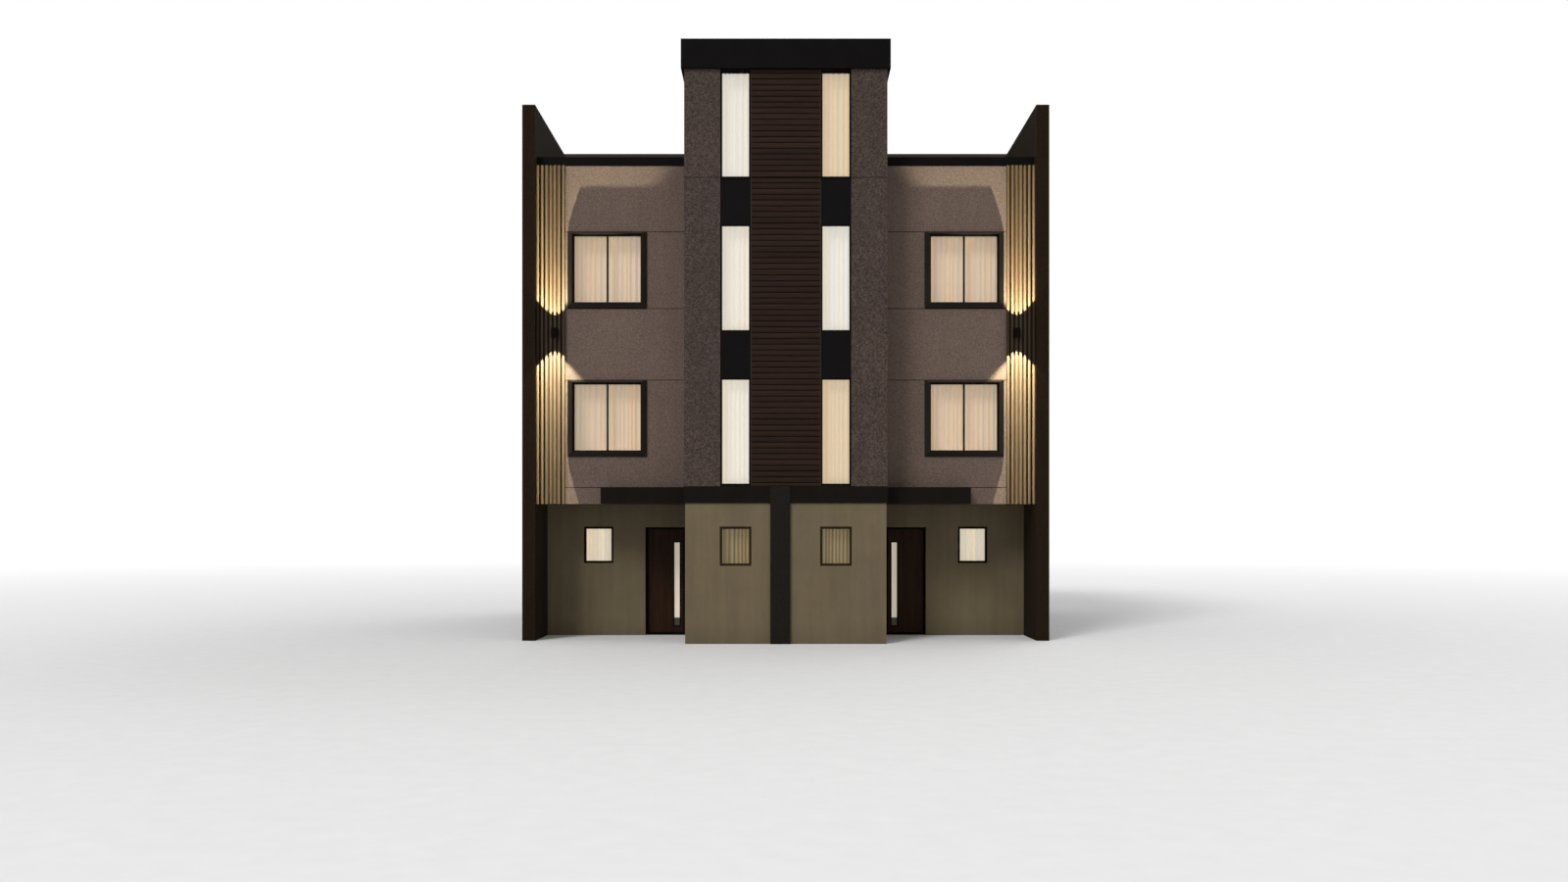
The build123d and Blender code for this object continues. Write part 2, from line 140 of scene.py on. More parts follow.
class VillaSizes(bpy.types.PropertyGroup):
    """Sizes of the pieces that dress the villa."""

    board_pitch: measure("Board pitch", "Height of one cladding board with its groove", 0.12)
    board_groove: measure("Board groove", "Open groove between two boards", 0.016)
    board_thickness: measure("Board thickness", "Thickness of a cladding board", 0.024)
    trim_face: measure("Trim face", "Width of the trims at the cladding's edges", 0.014)
    lining_thickness: measure("Lining thickness", "Thickness of the lining round a wide window", 0.003)
    edge_rounding: measure("Edge rounding", "Radius of the eased edges of boards and slats", 0.004)
    backing_thickness: measure("Backing thickness", "Thickness of the boarding behind the slats", 0.03)
    pleat_pitch: measure("Pleat pitch", "Mean width that one curtain pleat takes up", 0.105)
    close_pleat_pitch: measure("Close pleat pitch", "Mean width of a pleat on the ground floor", 0.078)
    pleat_depth: measure("Pleat depth", "Depth of a curtain pleat, from fold to fold", 0.056)
    cloth_thickness: measure("Cloth thickness", "Thickness of the curtain cloth", 0.0012)
    bead_face: measure("Bead face", "Width of a glazing bead", 0.009)
    joint_reveal: measure("Joint reveal", "How deep a profile sits in its shadow joint", 0.004)
    slot_trim_face: measure("Slot trim", "Width of the trim round a door's slot", 0.022)
    lamp_wall: measure("Lamp wall", "Thickness of a wall lamp's casing", 0.008)
    lamp_recess: measure("Lamp recess", "How deep a lens sits in its lamp", 0.025)
    lens_thickness: measure("Lens thickness", "Thickness of a lamp's lens", 0.006)
    screen_stand_off: measure("Screen stand-off", "How far a beam starts before the slats", 0.215)
    wall_stand_off: measure("Wall stand-off", "How far a beam starts before the wall", 0.3)


class VillaSettings(bpy.types.PropertyGroup):
    """All settings of the villa."""

    colours: bpy.props.PointerProperty(type=VillaColours, name="Colours")
    sizes: bpy.props.PointerProperty(type=VillaSizes, name="Sizes")


# Helpers for materials

def wire(tree, socket, value):
    """Give a socket a value, or link it to another socket."""
    if isinstance(value, bpy.types.NodeSocket):
        tree.links.new(value, socket)
    elif socket.type == "RGBA" and len(value) == 3:
        socket.default_value = (*value, 1)
    else:
        socket.default_value = value


def add_node(tree, kind, inputs, **settings):
    """Add a node with its settings and its inputs, which are given by name or number."""
    node = tree.nodes.new(kind)
    for key, value in settings.items():
        setattr(node, key, value)
    for key, value in inputs.items():
        wire(tree, node.inputs[key], value)
    return node


def directly_seen(tree):
    """Give 1 on rays from the camera, off gloss and through glass, and 0 on others."""
    path = add_node(tree, "ShaderNodeLightPath", {}).outputs
    seen = path["Is Camera Ray"]
    for ray in ("Is Glossy Ray", "Is Transmission Ray"):
        seen = add_node(tree, "ShaderNodeMath", {0: seen, 1: path[ray]}, operation="MAXIMUM").outputs[0]
    return seen


class Finish:
    """A material in the making, read on the object's own coordinates."""

    def __init__(self, name, roughness=0.85, specular=0.3):
        self.material = bpy.data.materials.new(name)
        self.material.use_nodes = True
        self.tree = self.material.node_tree
        self.shader = self.tree.nodes["Principled BSDF"]
        self.shader.inputs["Roughness"].default_value = roughness
        self.shader.inputs["Specular IOR Level"].default_value = specular
        self.place = self.node("ShaderNodeTexCoord", {}).outputs["Object"]

    def node(self, kind, inputs, **settings):
        return add_node(self.tree, kind, inputs, **settings)

    def stretched(self, scale, place=None):
        """Give the coordinates scaled along each axis."""
        node = self.node("ShaderNodeMapping", {"Vector": place or self.place, "Scale": scale})
        return node.outputs["Vector"]

    def noise(self, scale, detail=4.0, roughness=0.55, distortion=0.0, place=None):
        """Give a noise, stretched where scale is given for each axis."""
        if isinstance(scale, tuple):
            place, scale = self.stretched(scale, place), 1.0
        node = self.node("ShaderNodeTexNoise", {
            "Vector": place or self.place, "Scale": scale, "Detail": detail,
            "Roughness": roughness, "Distortion": distortion})
        return node.outputs[0]

    def cells(self, scale, output="Distance"):
        node = self.node("ShaderNodeTexVoronoi", {"Vector": self.place, "Scale": scale})
        return node.outputs[output]

    def attribute(self, name):
        return self.node("ShaderNodeAttribute", {}, attribute_name=name).outputs["Fac"]

    def axis(self, letter, place=None):
        node = self.node("ShaderNodeSeparateXYZ", {"Vector": place or self.place})
        return node.outputs[letter]

    def spread(self, value, low, high, near=0.3, far=0.7):
        """Map a value from the range near to far to the range low to high, clamped."""
        node = self.node("ShaderNodeMapRange", {
            "Value": value, "From Min": near, "From Max": far, "To Min": low, "To Max": high})
        return node.outputs["Result"]

    def varied(self, value, amount, near=0.3, far=0.7):
        """Map a value to a factor that strays from 1 by amount, down and up."""
        return self.spread(value, 1 - amount, 1 + amount, near, far)

    def speckled(self, value, amount):
        """Do as varied does, with a harder contrast."""
        return self.varied(value, amount, near=0.35, far=0.65)

    def combined(self, first, second, operation="ADD"):
        return self.node("ShaderNodeMath", {0: first, 1: second}, operation=operation).outputs[0]

    def vector(self, operation, inputs, output="Vector"):
        return self.node("ShaderNodeVectorMath", inputs, operation=operation).outputs[output]

    def toned(self, base, *factors):
        """Multiply a colour by each factor in turn."""
        for factor in factors:
            base = self.vector("SCALE", {0: base, "Scale": factor})
        return base

    def mixed(self, share, first, second):
        node = self.node("ShaderNodeMix", {"Factor": share, 6: first, 7: second}, data_type="RGBA")
        return node.outputs[2]

    def facing_up(self):
        """Give 1 on level faces that look up, and 0 elsewhere."""
        normal = self.node("ShaderNodeNewGeometry", {}).outputs["True Normal"]
        return self.spread(self.axis("Z", normal), 0.0, 1.0, near=0.6, far=0.8)

    def paint(self, base, *factors):
        """Colour the surface by a base and its factors, and give that colour back."""
        base = self.toned(base, *factors)
        wire(self.tree, self.shader.inputs["Base Color"], base)
        return base

    def gloss(self, value):
        wire(self.tree, self.shader.inputs["Roughness"], value)

    def glow(self, base, strength):
        wire(self.tree, self.shader.inputs["Emission Color"], base)
        self.shader.inputs["Emission Strength"].default_value = strength

    def relief(self, distance, strength, *heights):
        """Raise the surface by the sum of some heights."""
        bump = self.node("ShaderNodeBump", {"Height": reduce(self.combined, heights),
                                            "Distance": distance, "Strength": strength})
        wire(self.tree, self.shader.inputs["Normal"], bump.outputs["Normal"])


# Masonry finishes

def rain_marks(finish, amount):
    """Give faint upright streaks and a slightly darker foot."""
    streaks = finish.noise((5.0, 5.0, 0.25), detail=3.0)
    splash = finish.spread(finish.axis("Z"), 1 - amount * 1.6, 1.0, near=0.0, far=0.45)
    return finish.combined(finish.spread(streaks, 1 - amount, 1 + amount * 0.5), splash, "MULTIPLY")


def rough_cast(name, base):
    """Make thrown render: clouded, mottled, full of pale grains, with painted shade in its pits."""
    finish = Finish(name, roughness=0.92, specular=0.15)
    clouds = finish.noise(0.9, detail=5.0, roughness=0.6)
    mottles = finish.noise(12.0, roughness=0.65, distortion=0.4)
    flecks = finish.noise(28.0, detail=3.0, roughness=0.75)
    grains = finish.noise(95.0, detail=3.0, roughness=0.7)
    # Painted shade: each pit is painted darker, as shade falls in it.
    shaded_pits = finish.cells(40.0)
    finish.paint(base, finish.varied(clouds, 0.1), finish.speckled(mottles, 0.13),
                 finish.speckled(flecks, 0.52), finish.speckled(grains, 0.46),
                 finish.spread(shaded_pits, 0.62, 1.0, near=0.05, far=0.3), rain_marks(finish, 0.05))
    finish.relief(0.007, 0.8, finish.spread(grains, 0.0, 0.45), finish.spread(flecks, 0.0, 0.7),
                  finish.spread(shaded_pits, 0.0, 0.5, near=0.0, far=0.35))
    return finish.material


def fine_render(name, base, cloud=0.05, fleck=0.17, grain=0.14, glint_gain=1.1, relief=0.003, specular=0.12):
    """Make sprayed render with a sandy grain, fine pale grains and a few pale stone chips, brightened into
    painted glints.

    Its sixth argument is how much paler a painted glint is.
    """
    finish = Finish(name, roughness=0.9, specular=specular)
    clouds = finish.noise(0.7)
    flecks = finish.noise(30.0, detail=3.0, roughness=0.75)
    grains = finish.noise(150.0, detail=2.5, roughness=0.65)
    stones = finish.cells(75.0)
    # Painted glints: sparse pale specks that stand for stone chips catching the light.
    painted_glints = finish.cells(14.0)
    finish.paint(base, finish.varied(clouds, cloud), finish.speckled(flecks, fleck),
                 finish.speckled(grains, grain), finish.spread(stones, 1.2, 1.0, near=0.03, far=0.14),
                 finish.spread(painted_glints, glint_gain, 1.0, near=0.05, far=0.17), rain_marks(finish, 0.04))
    finish.relief(relief, 0.7, finish.spread(grains, 0.0, 0.6), finish.spread(stones, 0.4, 0.0))
    return finish.material


def smooth_plaster(name, base):
    """Make floated plaster with soft trowel clouds and a splashed foot."""
    finish = Finish(name, roughness=0.82, specular=0.25)
    clouds = finish.noise(0.8, detail=5.0, roughness=0.62)
    trowel = finish.noise((6.0, 6.0, 2.2), detail=5.0, roughness=0.6, distortion=1.2)
    dust = finish.noise(210.0, detail=2.0)
    finish.paint(base, finish.spread(clouds, 0.9, 1.09), finish.spread(trowel, 0.94, 1.05),
                 finish.varied(dust, 0.05), rain_marks(finish, 0.1))
    finish.gloss(finish.spread(trowel, 0.74, 0.9))
    finish.relief(0.0016, 0.7, finish.spread(trowel, 0.0, 1.0), finish.spread(dust, 0.0, 0.25))
    return finish.material


def slab_concrete(name, base, tile=0.0):
    """Make trowelled concrete, with square paving on its level faces where tile is given."""
    finish = Finish(name, roughness=0.8)
    clouds = finish.noise(1.4, detail=6.0, roughness=0.65)
    pores = finish.cells(60.0)
    shade = finish.toned(base, finish.spread(clouds, 0.88, 1.1),
                         finish.spread(pores, 0.85, 1.0, near=0.02, far=0.12))
    if tile:
        paving = finish.node("ShaderNodeTexBrick", {
            "Vector": finish.place, "Color1": (0.9, 0.9, 0.9), "Color2": (1.05, 1.05, 1.05),
            "Mortar": (0.45, 0.45, 0.45), "Scale": 1.0, "Mortar Size": 0.004,
            "Brick Width": tile, "Row Height": tile}, offset=0.0)
        tiles = finish.mixed(finish.facing_up(), (1.0, 1.0, 1.0), paving.outputs["Color"])
        shade = finish.vector("MULTIPLY", {0: shade, 1: tiles})
    finish.paint(shade)
    finish.relief(0.002, 0.5, finish.spread(clouds, 0.0, 1.0), finish.spread(pores, 0.0, 0.4))
    return finish.material


def roofing(name, side, top):
    """Make a roof edge in render, with a gravelled membrane on its level faces."""
    finish = Finish(name, roughness=0.9, specular=0.2)
    grains = finish.noise(150.0, detail=2.5)
    clouds = finish.noise(0.7)
    gravel = finish.cells(38.0)
    stone = finish.axis("X", finish.cells(38.0, output="Color"))
    edge = finish.toned(side, finish.varied(clouds, 0.07), finish.varied(grains, 0.14))
    bed = finish.toned(top, finish.spread(clouds, 0.88, 1.1),
                       finish.spread(stone, 0.7, 1.25, near=0.0, far=1.0),
                       finish.spread(gravel, 1.05, 0.6, near=0.2, far=0.75))
    up = finish.facing_up()
    finish.paint(finish.mixed(up, edge, bed))
    finish.relief(0.008, 0.6, finish.combined(gravel, up, "MULTIPLY"), finish.spread(grains, 0.0, 0.1))
    return finish.material


# Metal, wood, cloth and glass

# How far up a door's slot the painted shade reaches, and over how much on either side of that the painted
# hall light fades in
SLOT_PAINTED_SHADE_HEIGHT = 0.18
SLOT_FADE = 0.01


def coated_metal(name, base, roughness=0.5, specular=0.035, outer=None, limit=0.0):
    """Make a dark coated sheet with faint handling marks and dust on its level faces.

    Where outer is given, it is the colour further than limit from the villa's middle.
    """
    finish = Finish(name, specular=specular)
    if outer:
        aside = finish.combined(finish.axis("X"), 0.0, "ABSOLUTE")
        base = finish.mixed(finish.combined(aside, limit, "GREATER_THAN"), base, outer)
    clouds = finish.noise(1.6, detail=5.0, roughness=0.65)
    marks = finish.noise((26.0, 26.0, 3.0))
    orange_peel = finish.noise(420.0, detail=1.0)
    dusty = finish.toned(base, finish.spread(clouds, 1.5, 2.6))
    clean = finish.toned(base, finish.varied(clouds, 0.18), finish.spread(marks, 0.94, 1.08))
    finish.paint(finish.mixed(finish.facing_up(), clean, dusty))
    finish.gloss(finish.spread(marks, roughness - 0.06, roughness + 0.1))
    finish.relief(0.0004, 0.12, orange_peel)
    return finish.material


def wood(name, base, grain_scale, contrast, specular, roughness=0.55, per_piece=0.0):
    """Make oiled wood. grain_scale is small along the grain and large across it.

    Where per_piece is above 0, each board reads its own tone and its own part of the grain.
    """
    finish = Finish(name, specular=specular)
    place, factors = finish.place, []
    if per_piece:
        tone = finish.attribute("tone")
        shifts = {letter: finish.combined(tone, shift, "MULTIPLY")
                  for letter, shift in (("X", 7.3), ("Y", 21.9), ("Z", 14.6))}
        offset = finish.node("ShaderNodeCombineXYZ", shifts).outputs[0]
        place = finish.vector("ADD", {0: place, 1: offset})
        factors = [finish.varied(tone, per_piece, near=0.0, far=1.0)]
    grown = finish.stretched(grain_scale, place)
    figure = finish.noise(1.0, detail=5.0, roughness=0.6, distortion=0.9, place=grown)
    fibre = finish.noise(6.0, detail=3.0, roughness=0.7, place=grown)
    pores = finish.noise(17.0, detail=2.0, place=grown)
    finish.paint(base, finish.varied(figure, contrast),
                 finish.spread(fibre, 1 - contrast * 0.6, 1 + contrast * 0.5),
                 finish.spread(pores, 0.78, 1.05, near=0.3, far=0.5), *factors)
    finish.gloss(finish.spread(fibre, roughness - 0.08, roughness + 0.14))
    finish.relief(0.0012, 0.6, finish.spread(fibre, 0.0, 0.7), finish.spread(pores, 0.0, 0.5))
    return finish.material


def curtain_cloth(name, base, glow, shade, cover=1.0):
    """Make pleated voile with the room's light behind it painted on as a glow, painted shade in its folds,
    and a tint for each pleat.

    glow is how bright that painted room light is, shade how much painted shade darkens the bottom of a
    fold, and cover how much daylight it throws back.
    """
    finish = Finish(name, roughness=0.9, specular=0.1)
    finish.shader.inputs["Sheen Weight"].default_value = 0.15
    threads = finish.noise((900.0, 900.0, 60.0), detail=2.0)
    weft = finish.noise((40.0, 40.0, 700.0), detail=2.0)
    warm, cool = Vector(base) * Vector((1.04, 0.99, 0.93)), Vector(base) * Vector((0.97, 1.0, 1.04))
    # Painted shade: the cloth is painted darker where it lies back in a pleat's fold.
    cloth = finish.toned(finish.mixed(finish.attribute("tint"), warm, cool),
                         finish.spread(finish.attribute("fold_shade"), 1 - shade, 1 + shade * 0.5, 0.0, 1.0),
                         finish.spread(threads, 0.985, 1.01), finish.varied(weft, 0.01))
    finish.paint(cloth, cover)
    finish.glow(cloth, glow)
    finish.relief(0.0005, 0.3, threads, weft)
    return finish.material


def clear_glass(name, tint=(0.02, 0.022, 0.024), alpha=0.1):
    """Make window glass that shows the curtain behind it and mirrors its surroundings."""
    finish = Finish(name, specular=0.5)
    film = finish.noise(0.8)
    smears = finish.noise((9.0, 9.0, 1.5), detail=3.0)
    finish.paint(tint, finish.varied(film, 0.1))
    finish.gloss(finish.spread(smears, 0.03, 0.12))
    finish.shader.inputs["Alpha"].default_value = alpha
    return finish.material


def frosted_glass(name, base, glow, foot):
    """Make etched glass with the hall's light behind it painted on as a glow, and painted shade for a
    stretch above the height foot.
    """
    finish = Finish(name, roughness=0.45)
    clouds = finish.noise((4.0, 4.0, 1.1), detail=3.0)
    etching = finish.noise(380.0, detail=2.0)
    middle = foot + SLOT_PAINTED_SHADE_HEIGHT
    # Painted shade: the glass and its glow go dark low in the slot, where the hall's light stops.
    dim = finish.spread(finish.axis("Z"), 0.05, 1.0, near=middle - SLOT_FADE, far=middle + SLOT_FADE)
    shade = finish.paint(base, finish.spread(clouds, 0.92, 1.05), finish.spread(etching, 0.97, 1.02), dim)
    finish.glow(shade, glow)
    finish.relief(0.0004, 0.3, etching)
    return finish.material


def lamp_lens(name, base, glow):
    """Make the prismatic lens of a wall lamp, switched on."""
    finish = Finish(name, roughness=0.3, specular=0.4)
    prisms = finish.cells(220.0)
    finish.glow(finish.paint(base, finish.spread(prisms, 1.0, 0.8, near=0.0, far=0.6)), glow)
    finish.relief(0.001, 0.4, prisms)
    return finish.material


# Helpers for pieces

def pair(name):
    """Give the names of a left and a right piece or node."""
    return [f"{name}_{side}" for side in SIDES]


def dress(material, *names):
    """Give CAD nodes a finish."""
    for name in names:
        for slot in frame["nodes"][name].material_slots:
            slot.material = material


def solid_boxes(node):
    """Give the lowest and highest corner of each separate block in a CAD node, from left to right."""
    mesh = frame["nodes"][node].data
    keys = [tuple(round(value, 4) for value in vertex.co) for vertex in mesh.vertices]
    parent = {key: key for key in keys}

    def root(key):
        while parent[key] != key:
            parent[key] = parent[parent[key]]
            key = parent[key]
        return key

    for polygon in mesh.polygons:
        first, *others = [root(keys[index]) for index in polygon.vertices]
        for other in others:
            parent[other] = first
            first = root(first)
    groups = {}
    for key in parent:
        groups.setdefault(root(key), []).append(key)
    boxes = [(Vector(map(min, *corners)), Vector(map(max, *corners))) for corners in groups.values()]
    return sorted(boxes, key=lambda box: (round(box[0].x, 2), round(box[0].z, 2), round(box[0].y, 2)))


def face_of(box, outward):
    """Give where along Y a box ends: at its front where outward is below 0, and else at its back."""
    return box[0 if outward < 0 else 1].y


# How much of a face's normal has to point along an axis for the face to look that way
SQUARE_ON = 0.99


def joint_boxes(node, axis, side, deepest=0.03, shallowest=0.001):
    """Find the level grooves in the outer face of a wall, which looks along axis towards side.

    Gives the lowest and highest corner of the space in each groove.
    """
    mesh = frame["nodes"][node].data
    face = side * max(side * vertex.co[axis] for vertex in mesh.vertices)
    along = 1 - axis
    floors = {}
    for polygon in mesh.polygons:
        depth = side * (face - polygon.center[axis])
        if abs(polygon.normal[axis]) > SQUARE_ON and shallowest < depth < deepest:
            corners = [mesh.vertices[index].co for index in polygon.vertices]
            heights = [round(corner.z, 4) for corner in corners]
            key = (min(heights), max(heights), round(polygon.center[axis], 5))
            floors.setdefault(key, []).extend(corner[along] for corner in corners)
    boxes = []
    for (foot, top, floor), ends in sorted(floors.items()):
        low, high = Vector((0, 0, foot)), Vector((0, 0, top))
        low[axis], high[axis] = min(face, floor), max(face, floor)
        low[along], high[along] = min(ends), max(ends)
        boxes.append((low, high))
    return boxes


def new_object(name, data):
    item = bpy.data.objects.new(name, data)
    bpy.context.scene.collection.objects.link(item)
    return item


def new_piece(name, shape, material, body="house", smooth=False):
    """Make one mesh piece from its vertices and faces, in place and riding on a body."""
    vertices, faces = shape
    mesh = bpy.data.meshes.new(name)
    mesh.from_pydata(vertices, [], faces)
    mesh.materials.append(material)
    mesh.update()
    for polygon in mesh.polygons:
        polygon.use_smooth = smooth
    piece = new_object(name, mesh)
    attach(piece, body)
    return piece


def ring(low, high, face, profile, outward):
    """Make a closed ring round an upright rectangle that faces along Y.

    profile lists (inset, depth) points; a depth counts from face, away from outward.
    """
    vertices, faces = [], []
    for inset, depth in profile:
        left, right, foot, top = low.x + inset, high.x - inset, low.z + inset, high.z - inset
        y = face - outward * depth
        vertices += [(left, y, foot), (right, y, foot), (right, y, top), (left, y, top)]
    for step in range(len(profile)):
        start, end = step * 4, (step + 1) % len(profile) * 4
        for corner in range(4):
            after = (corner + 1) % 4
            side = (start + corner, start + after, end + after, end + corner)
            faces.append(side if outward < 0 else side[::-1])
    return vertices, faces


def block(low, high):
    """Make a plain closed block as a pair of vertices and faces."""
    vertices = [(x, y, z) for x in (low[0], high[0]) for y in (low[1], high[1]) for z in (low[2], high[2])]
    faces = [(0, 1, 3, 2), (4, 6, 7, 5), (0, 4, 5, 1), (2, 3, 7, 6), (0, 2, 6, 4), (1, 5, 7, 3)]
    return vertices, faces


def joined(parts):
    """Join (vertices, faces) pairs into one pair."""
    vertices, faces = [], []
    for part_vertices, part_faces in parts:
        start = len(vertices)
        vertices += part_vertices
        faces += [tuple(index + start for index in face) for face in part_faces]
    return vertices, faces


# Geometry Nodes

def bar_rows_tree():
    """Build the tree that repeats an eased bar: a cladding board or an upright slat."""
    tree = bpy.data.node_groups.new("bar_rows", "GeometryNodeTree")
    sockets = {"Start": "Vector", "Step": "Vector", "Count": "Int", "Turn": "Vector",
               "Bar length": "Float", "Face": "Float", "Thickness": "Float", "Rounding": "Float",
               "Play": "Float", "Seed": "Int", "Finish": "Material"}
    for name, kind in sockets.items():
        tree.interface.new_socket(name, in_out="INPUT", socket_type=f"NodeSocket{kind}")
    tree.interface.new_socket("Geometry", in_out="OUTPUT", socket_type="NodeSocketGeometry")
    given = add_node(tree, "NodeGroupInput", {}).outputs

    def made(kind, inputs, output=0, **settings):
        return add_node(tree, kind, inputs, **settings).outputs[output]

    outline = made("GeometryNodeCurvePrimitiveQuadrilateral",
                   {"Width": given["Face"], "Height": given["Thickness"]})
    eased = made("GeometryNodeFilletCurve",
                 {"Curve": outline, "Count": 2, "Radius": given["Rounding"]}, mode="POLY")
    end = made("ShaderNodeCombineXYZ", {"Z": given["Bar length"]})
    spine = made("GeometryNodeCurvePrimitiveLine", {"End": end})
    bar = made("GeometryNodeCurveToMesh", {"Curve": spine, "Profile Curve": eased, "Fill Caps": True})
    turned = made("GeometryNodeTransform", {"Geometry": bar, "Rotation": given["Turn"]})
    row = made("GeometryNodeMeshLine", {
        "Count": given["Count"], "Start Location": given["Start"], "Offset": given["Step"]}, mode="OFFSET")
    back = made("ShaderNodeMath", {0: given["Play"], 1: -1.0}, operation="MULTIPLY")
    play = made("FunctionNodeRandomValue", {2: back, 3: given["Play"], "Seed": given["Seed"]}, output=1,
                data_type="FLOAT")
    moved = made("ShaderNodeCombineXYZ", {"Y": play})
    places = made("GeometryNodeSetPosition", {"Geometry": row, "Offset": moved})
    bars = made("GeometryNodeInstanceOnPoints", {"Points": places, "Instance": turned})
    draw = made("ShaderNodeMath", {0: given["Seed"], 1: 1.0}, operation="ADD")
    tone = made("FunctionNodeRandomValue", {2: 0.0, 3: 1.0, "Seed": draw}, output=1, data_type="FLOAT")
    marked = made("GeometryNodeStoreNamedAttribute", {"Geometry": bars, "Name": "tone", "Value": tone},
                  data_type="FLOAT", domain="INSTANCE")
    real = made("GeometryNodeRealizeInstances", {"Geometry": marked})
    finished = made("GeometryNodeSetMaterial", {"Geometry": real, "Material": given["Finish"]})
    add_node(tree, "NodeGroupOutput", {0: finished})
    return tree


def grown_piece(name, tree, values, node):
    """Run a tree with named inputs, and set its result as a plain mesh in place of a CAD node."""
    holder = new_object(name + "_holder", bpy.data.meshes.new(name))
    modifier = holder.modifiers.new("Rows", "NODES")
    modifier.node_group = tree
    for item in tree.interface.items_tree:
        if item.in_out == "INPUT":
            modifier[item.identifier] = values[item.name]
    depsgraph = bpy.context.evaluated_depsgraph_get()
    mesh = bpy.data.meshes.new_from_object(holder.evaluated_get(depsgraph))
    if not mesh.polygons:
        raise RuntimeError(f"{name} came out empty")
    bpy.data.objects.remove(holder)
    mesh.name = name
    piece = new_object(name, mesh)
    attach(piece, "house")
    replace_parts(piece, node)


# Stage

class VILLA_OT_stage(bpy.types.Operator):
    """Set the camera, the pale floor, the soft lights and the white background"""

    bl_idname = "villa.stage"
    bl_label = "Stage"

    def execute(self, context):
        self.add_camera(context.scene)
        self.add_floor()
        self.add_world(context.scene)
        for name, (degrees, strength, softness) in SUNS.items():
            self.add_sun(name, degrees, strength, softness)
        context.scene.view_settings.view_transform = "Standard"
        return {"FINISHED"}

    def add_camera(self, scene):
        data = bpy.data.cameras.new("street_camera")
        data.lens = CAMERA_FOCAL_LENGTH
        data.shift_y = CAMERA_SHIFT
        data.clip_end = CAMERA_REACH
        camera = new_object("street_camera", data)
        tower_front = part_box("tower_front_wall")[0].y
        camera.location = (CAMERA_ASIDE, tower_front - CAMERA_DISTANCE, CAMERA_HEIGHT)
        camera.rotation_euler = (math.radians(90), 0, 0)
        scene.camera = camera

    def add_floor(self):
        """Lay a pale floor that turns white far from its middle, where the camera sees it."""
        finish = Finish("pale_floor", roughness=0.9, specular=0.1)
        finish.paint(FLOOR_COLOUR, finish.varied(finish.noise(3.0, detail=5.0), 0.02))
        distance = finish.vector("LENGTH", {0: finish.place}, output="Value")
        far = finish.spread(distance, 0.0, 1.0, near=FLOOR_FADE_START, far=FLOOR_FADE_END)
        white = finish.node("ShaderNodeEmission", {"Color": (1.0, 1.0, 1.0), "Strength": 1.0})
        blend = finish.node("ShaderNodeMixShader", {
            0: finish.combined(directly_seen(finish.tree), far, "MULTIPLY"),
            1: finish.shader.outputs[0], 2: white.outputs[0]})
        wire(finish.tree, finish.tree.nodes["Material Output"].inputs["Surface"], blend.outputs[0])
        half = FLOOR_HALF_WIDTH
        mesh = bpy.data.meshes.new("floor")
        mesh.from_pydata([(-half, -half, 0), (half, -half, 0), (half, half, 0), (-half, half, 0)], [],
                         [(0, 1, 2, 3)])
        mesh.materials.append(finish.material)
        new_object("floor", mesh)

    def add_world(self, scene):
        world = bpy.data.worlds.new("studio")
        world.use_nodes = True
        tree = world.node_tree
        level = add_node(tree, "ShaderNodeMapRange", {"Value": directly_seen(tree), "To Min": WORLD_LEVEL,
                                                      "To Max": 1.0})
        background = tree.nodes["Background"]
        background.inputs["Color"].default_value = (1, 1, 1, 1)
        wire(tree, background.inputs["Strength"], level.outputs["Result"])
        scene.world = world

    def add_sun(self, name, degrees, strength, softness):
        data = bpy.data.lights.new(name, "SUN")
        data.energy = strength
        data.angle = math.radians(softness)
        new_object(name, data).rotation_euler = Euler([math.radians(value) for value in degrees])


# Shell

